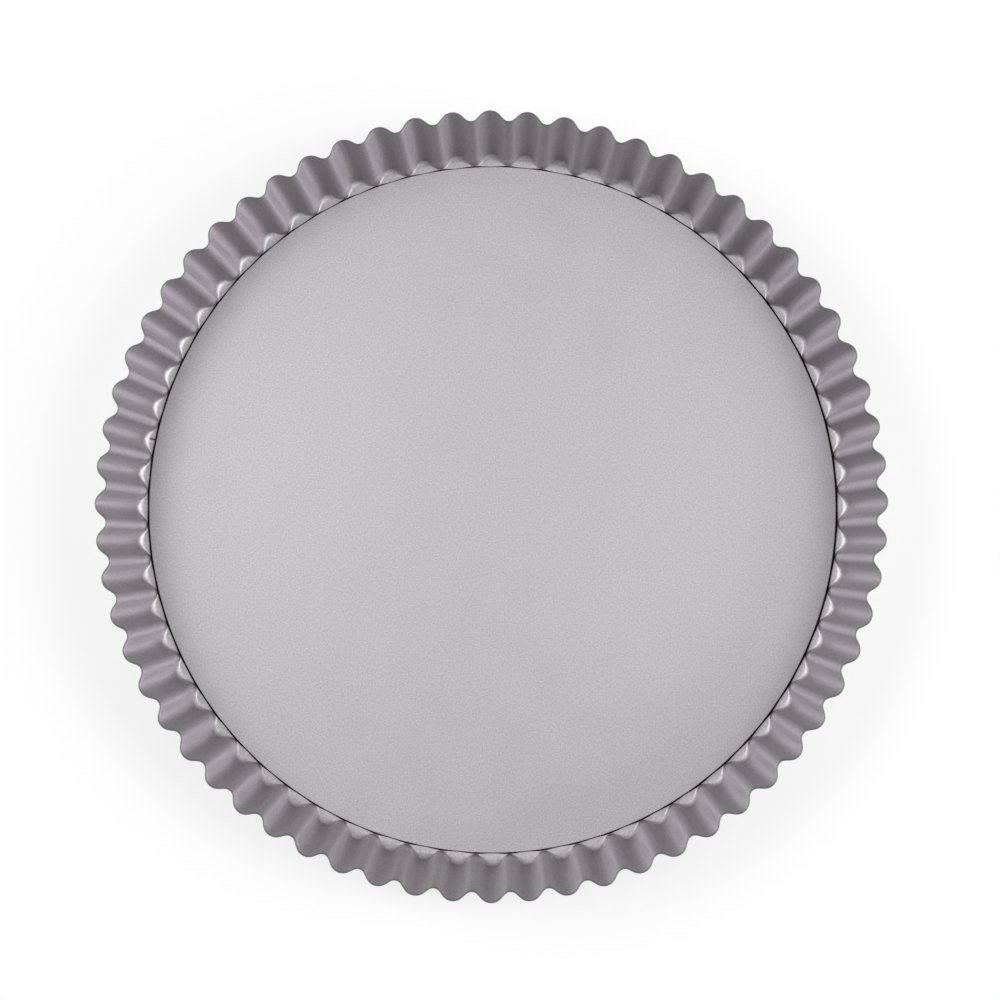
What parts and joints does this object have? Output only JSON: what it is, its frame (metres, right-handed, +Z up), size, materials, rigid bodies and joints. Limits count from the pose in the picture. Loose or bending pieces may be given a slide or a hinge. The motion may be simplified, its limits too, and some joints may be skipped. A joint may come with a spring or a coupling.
{
  "type": "fluted quiche dish",
  "caption": "Round, low, deeply fluted quiche dish of coated sheet steel, with a flared wall, a narrow inward seat at its foot and a flat loose base that lifts out.",
  "frame": {"origin": "centre of the dish on the plane that it stands on, which is the underside of the seat", "axes": "+Z up along the axis of the dish, out of its open mouth; +X through the middle of a lobe"},
  "size_m": [0.3, 0.3, 0.035],
  "materials": {
    "coated_steel_ring": "satin",
    "coated_steel_base": "satin"
  },
  "bodies": {
    "ring": {"fluted_ring": "coated_steel_ring"},
    "base": {"loose_base": "coated_steel_base"}
  },
  "joints": [
    {"name": "base_lift", "type": "slide", "parent": "ring", "child": "base", "axis": [0, 0, 1], "range_m": [0, 0.05]}
  ]
}
